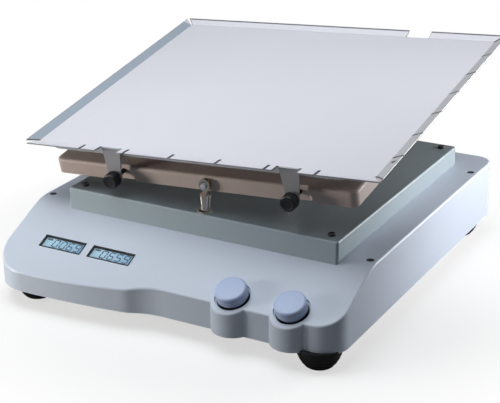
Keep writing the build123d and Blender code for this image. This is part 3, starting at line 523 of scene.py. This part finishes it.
def makeKnob():
    radius, bottom, chamfer = knob["radius"], knob["bottom"], knob["chamfer"]
    top = bottom + knob["height"] - knob["dome"]
    outer = radius - knob["undercut"]
    inner = outer - knob["lip"]
    roof = bottom + knob["hollow"]
    under = knob["undercutTop"]
    rings = [(knob["bore"], roof), (inner, roof), (inner, bottom), (outer, bottom)]
    rings += [(outer, under), (radius - chamfer, under), (radius, under + chamfer)]
    rings += shoulder(radius, top, knob["shoulder"], knob["shoulderSteps"])
    flat = radius - knob["shoulder"]
    for share in knob["domeRings"]:
        rings.append((flat * share, top + knob["dome"] * (1 - share * share)))
    return settle(turned("knobShape", rings, knob["sides"]))


knobShape = makeKnob()
for name, x, node in knob["turns"]:
    piece = copyOf(knobShape, name, panelPlace(x, knob["y"]))
    settle(piece, None, knob["smooth"])
    finishPiece(piece, "knob_plastic", node)
    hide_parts(node)
bpy.data.objects.remove(knobShape)
print("knobs made")

# Thumb screws: knurled heads with a dished face, on a collar and a shank. The front rows
# are steps in from the head's side and back from its face
thumb = {
    "radius": 0.00825,
    "start": 0.1573,
    "length": 0.011,
    "end": 0.133,
    "shank": 0.0024,
    "tip": 0.0019,
    "tipLength": 0.0006,
    "collar": 0.0045,
    "collarLength": 0.0006,
    "rearBevel": 0.0008,
    "front": ((0, 0.0014), (0.0004, 0.0005), (0.0012, 0), (0.0026, 0), (0.0034, 0.0007)),
    "dishCentre": 0.0004,
    "dishDepth": 0.0009,
    "knurls": 26,
    "knurlGap": 0.00008,
    "groove": 0.00042,
    "smooth": 25,
    "height": 0.0005,
    "x": 0.100,
    "places": (("front_left", -1, -1), ("front_right", 1, -1), ("back_right", 1, 1)),
}


def makeThumbScrew():
    start, end = thumb["start"], thumb["end"]
    low, top = start + thumb["collarLength"], start + thumb["length"]
    radius, bevel = thumb["radius"], thumb["rearBevel"]
    rings = [(thumb["tip"], end), (thumb["shank"], end + thumb["tipLength"]), (thumb["shank"], start)]
    rings += [(thumb["collar"], start), (thumb["collar"], low), (radius - bevel, low), (radius, low + bevel)]
    rings += [(radius - inward, top - back) for inward, back in thumb["front"]]
    rings.append((thumb["dishCentre"], top - thumb["dishDepth"]))
    sides = thumb["knurls"] * 2
    piece = turned("thumbShape", rings, sides)
    knurlEnd = top - thumb["front"][0][1]

    # Every other face round the side
    def inGroove(centre, normal):
        turn = atan2(centre.y, centre.x) / (2 * pi / sides)
        onSide = abs(normal.z) < 0.1 and low + bevel < centre.z < knurlEnd
        return onSide and int(turn // 1) % 2 == 0

    pickFaces(piece, inGroove)
    bpy.ops.mesh.inset(thickness=thumb["knurlGap"], use_individual=True)
    bpy.ops.transform.shrink_fatten(value=-thumb["groove"])
    return settle(piece)


thumbShape = makeThumbScrew()
for name, sideX, sideY in thumb["places"]:
    across = Matrix.Translation((sideX * thumb["x"], 0, thumb["height"]))
    outward = Matrix.Rotation(-sideY * pi / 2, 4, "X")
    piece = copyOf(thumbShape, "thumbScrew_" + name, platformPlace() @ across @ outward)
    settle(piece, None, thumb["smooth"])
    finishPiece(piece, "black_plastic", "thumb_screw_" + name)
    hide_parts("thumb_screw_" + name)
bpy.data.objects.remove(thumbShape)
print("thumb screws made")

# Feet: bowls with ribs round them and a hollow in the tread
foot = {
    "top": 0.022,
    "tread": 0.013,
    "height": 0.021,
    "hole": 0.0021,
    "hollow": 0.005,
    "hollowDepth": 0.009,
    "bevel": 0.0004,
    "treadBevel": 0.001,
    "brim": 0.0008,
    "ribbedTo": 0.0012,
    "fullness": 0.8,
    "ribs": 5,
    "rib": 0.0003,
    "sides": 72,
    "smooth": 40,
    "columns": (-0.160, 0.1594),
    "rows": (-0.175, 0.175),
}


def makeFoot():
    tread, high, bevel, hollow = foot["tread"], foot["height"], foot["bevel"], foot["hollow"]
    rings = [(foot["hole"], foot["hollowDepth"]), (hollow, foot["hollowDepth"]), (hollow, bevel)]
    rings += [(hollow + bevel, 0), (tread - foot["treadBevel"], 0), (tread, bevel)]
    steps = foot["ribs"] * 4
    for i in range(1, steps):
        rise = i / steps
        bulge = tread + (foot["top"] - tread) * sin(rise * pi / 2) ** foot["fullness"]
        groove = foot["rib"] if i % 4 in (2, 3) else 0
        rings.append((bulge - groove, bevel + (high - foot["ribbedTo"] - bevel) * rise))
    rings += [(foot["top"], high - foot["brim"]), (foot["top"] - bevel, high), (foot["hole"], high)]
    return settle(turned("footShape", rings, foot["sides"]))


footShape = makeFoot()
feet = []
for x in foot["columns"]:
    for y in foot["rows"]:
        feet.append(settle(copyOf(footShape, "foot", Matrix.Translation((x, y, 0)))))
bpy.data.objects.remove(footShape)
ribbedFeet = settle(joinPieces(feet, "ribbedFeet"), None, foot["smooth"])
finishPiece(ribbedFeet, "black_rubber", "base")
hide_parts("rubber_feet")
print("feet made")

# Displays: a liquid crystal cell under each window, heights measured down from the panel
cell = {
    "width": 0.0466,
    "height": 0.0131,
    "bottom": -0.00305,
    "top": -0.00212,
    "bevel": 0.00012,
    "margin": 0.0005,
    "marginDrop": 0.00004,
    "smooth": 30,
}

# On each cell, four slanted digits and a small flag at the upper left
digits = {
    "readings": ("0069", "0659"),
    "height": 0.0092,
    "width": 0.0056,
    "stroke": 0.0015,
    "gap": 0.00012,
    "slant": 10,
    "pitch": 0.0088,
    "first": -0.0095,
    "rise": 0.0008,
    "lift": -0.00207,
    "depth": 0.00008,
    "flagX": -0.0185,
    "flagY": 0.0046,
    "flagLength": 0.0068,
    "flagWidth": 0.0026,
    "smooth": 30,
}
segmentsOf = {
    "0": "abcdef",
    "1": "bc",
    "2": "abged",
    "3": "abgcd",
    "4": "fgbc",
    "5": "afgcd",
    "6": "afgedc",
    "7": "abc",
    "8": "abcdefg",
    "9": "abcdfg",
}


def makeCell(name, x):
    deselect()
    thick = cell["top"] - cell["bottom"]
    bpy.ops.mesh.primitive_cube_add(size=1)
    piece = bpy.context.object
    rename(piece, name)
    bpy.ops.object.mode_set(mode="EDIT")
    bpy.ops.mesh.select_all(action="SELECT")
    bpy.ops.transform.resize(value=(cell["width"], cell["height"], thick), center_override=(0, 0, 0))
    bpy.ops.transform.translate(value=(0, 0, (cell["top"] + cell["bottom"]) / 2))
    bpy.ops.mesh.bevel(offset=cell["bevel"], segments=2, affect="EDGES")
    pickFaces(piece, lambda centre, normal: normal.z > 0.99)
    bpy.ops.mesh.inset(thickness=cell["margin"])
    bpy.ops.transform.translate(value=(0, 0, -cell["marginDrop"]))
    settle(piece, panelPlace(x, places["displayY"]), cell["smooth"])
    finishPiece(piece, "display_face", "base")


# One pointed bar: a thin six-sided puck whose two ends are pulled apart
def makeBar(name, length, width, depth):
    piece = turned(name, [(width / 2, -depth / 2), (width / 2, depth / 2)], 6)
    bpy.ops.mesh.select_all(action="SELECT")
    bpy.ops.transform.rotate(value=radians(30), orient_axis="Z", center_override=(0, 0, 0))
    for side in (-1, 1):
        pickVerts(piece, lambda spot: spot.x * side > width * 0.1)
        bpy.ops.transform.translate(value=(side * (length - width) / 2, 0, 0))
    bpy.ops.object.mode_set(mode="OBJECT")
    return piece


def makeReadout(name, x, reading):
    half, wide = digits["height"] / 2, digits["width"] / 2
    gap, stroke, depth = 2 * digits["gap"], digits["stroke"], digits["depth"]
    level = makeBar("levelBar", digits["width"] - gap, stroke, depth)
    upright = makeBar("uprightBar", half - gap, stroke, depth)
    spots = {
        "a": (level, 0, half, 0),
        "b": (upright, wide, half / 2, 90),
        "c": (upright, wide, -half / 2, 90),
        "d": (level, 0, -half, 0),
        "e": (upright, -wide, -half / 2, 90),
        "f": (upright, -wide, half / 2, 90),
        "g": (level, 0, 0, 0),
    }
    slant = Matrix.Identity(4)
    slant[0][1] = sin(radians(digits["slant"]))
    face = panelPlace(x, places["displayY"], digits["lift"])
    parts = []
    for i, figure in enumerate(reading):
        step = Matrix.Translation((digits["first"] + i * digits["pitch"], digits["rise"], 0))
        for segment in segmentsOf[figure]:
            bar, barX, barY, turn = spots[segment]
            spot = Matrix.Translation((barX, barY, 0)) @ Matrix.Rotation(radians(turn), 4, "Z")
            parts.append(copyOf(bar, "bar", face @ step @ slant @ spot))
    flag = makeBar("flagBar", digits["flagLength"], digits["flagWidth"], depth)
    flagSpot = Matrix.Translation((digits["flagX"], digits["flagY"], 0))
    parts.append(copyOf(flag, "flag", face @ flagSpot))
    for seed in (level, upright, flag):
        bpy.data.objects.remove(seed)
    for part in parts:
        part.data.transform(part.matrix_world)
        part.matrix_world = Matrix.Identity(4)
    readout = settle(joinPieces(parts, name), None, digits["smooth"])
    finishPiece(readout, "display_face", "base", inkFinish)


for i, reading in enumerate(digits["readings"]):
    x = places["displayStart"] + i * places["displayPitch"]
    makeCell("displayCell" + str(i + 1), x)
    makeReadout("readout" + str(i + 1), x, reading)
print("readouts made")

# Floor, light and camera. Each lamp has its name, place, aim, size, power, spread and tint
stage = {
    "floorSize": 12,
    "floorHeight": -0.0002,
    "floorSeen": (0.97, 0.97, 0.97, 1),
    "floorLit": (0.30, 0.30, 0.31, 1),
    "floorGlow": 0.60,
    "fadeFrom": 0.26,
    "fadeOver": 0.11,
    "world": 0.04,
    "gloss": 0.30,
    "lamps": (
        ("topLamp", (-0.16, -0.22, 1.00), (0.0, -0.02, 0.10), 0.80, 8.1, 180, (0.93, 0.97, 1.0)),
        ("rightLamp", (0.56, 0.56, 0.16), (0.18, 0.16, 0.06), 0.28, 3.6, 150, (1, 1, 1)),
        ("sideLamp", (0.52, 0.10, 0.30), (0.165, 0.10, 0.09), 0.20, 0.18, 60, (1, 1, 1)),
        ("leftLamp", (-0.75, -0.62, 0.15), (-0.24, -0.20, 0.06), 0.24, 0.66, 55, (1.0, 0.95, 0.88)),
    ),
    "cameraPlace": (0.6662, -1.2100, 0.6234),
    "cameraTurn": (68.146, 0.531, 28.972),
    "lens": 101.8,
    "sensor": 36,
}


# The camera sees a white floor that keeps the shadow, other rays meet a duller one
def makeFloor():
    deselect()
    bpy.ops.mesh.primitive_plane_add(size=stage["floorSize"], location=(0, 0, stage["floorHeight"]))
    floor = bpy.context.object
    floor.name = "floor"
    paint = Finish("floorPaint", Roughness=0.9, Specular_IOR_Level=0.0)
    seen = paint.node("ShaderNodeLightPath", {}, {}, "Is Camera Ray")
    paint.put("Base_Color", paint.blend(seen, stage["floorLit"], stage["floorSeen"]))
    reach = paint.node("ShaderNodeVectorMath", {"operation": "LENGTH"}, {0: paint.where()}, "Value")
    fade = reach.rise(stage["fadeFrom"], stage["fadeFrom"] + stage["fadeOver"])
    glow = paint.node("ShaderNodeEmission", {}, {"Color": (1, 1, 1, 1), "Strength": 1.0})
    diffuse = Signal(paint, paint.shader.outputs[0])
    share = seen * (stage["floorGlow"] + (1 - stage["floorGlow"]) * fade)
    mixed = paint.node("ShaderNodeMixShader", {}, {0: share, 1: diffuse, 2: glow})
    paint.join(paint.output.inputs["Surface"], mixed)
    dress(floor, paint.material)


# White to the camera and through glass, dimmer in reflections, hardly any light on the object
def makeWorld():
    world = bpy.data.worlds.new("studio")
    bpy.context.scene.world = world
    world.use_nodes = True
    tree = world.node_tree
    tree.nodes.clear()
    path = tree.nodes.new("ShaderNodeLightPath")
    ground = tree.nodes.new("ShaderNodeBackground")
    ground.inputs["Color"].default_value = (1, 1, 1, 1)
    socket = ground.inputs["Strength"]
    rays = (("Is Camera Ray", 1.0), ("Is Transmission Ray", 1.0), ("Is Glossy Ray", stage["gloss"]))
    for ray, strength in rays:
        step = tree.nodes.new("ShaderNodeMath")
        step.operation = "MULTIPLY_ADD"
        tree.links.new(path.outputs[ray], step.inputs[0])
        step.inputs[1].default_value = strength
        tree.links.new(step.outputs[0], socket)
        socket = step.inputs[2]
    socket.default_value = stage["world"]
    output = tree.nodes.new("ShaderNodeOutputWorld")
    tree.links.new(ground.outputs[0], output.inputs["Surface"])


def makeLamps():
    for name, spot, aim, size, power, spread, tint in stage["lamps"]:
        data = bpy.data.lights.new(name, "AREA")
        data.shape = "SQUARE"
        data.size = size
        data.energy = power
        data.spread = radians(spread)
        data.color = tint
        lamp = bpy.data.objects.new(name, data)
        bpy.context.scene.collection.objects.link(lamp)
        lamp.location = spot
        lamp.rotation_euler = (Vector(aim) - Vector(spot)).to_track_quat("-Z", "Y").to_euler()
        lamp.visible_camera = False


def makeCamera():
    data = bpy.data.cameras.new("camera")
    data.sensor_width = stage["sensor"]
    data.lens = stage["lens"]
    camera = bpy.data.objects.new("camera", data)
    bpy.context.scene.collection.objects.link(camera)
    camera.location = stage["cameraPlace"]
    camera.rotation_euler = [radians(turn) for turn in stage["cameraTurn"]]
    bpy.context.scene.camera = camera


makeFloor()
makeWorld()
makeLamps()
makeCamera()
bpy.context.scene.view_settings.view_transform = "Standard"
print("stage set")
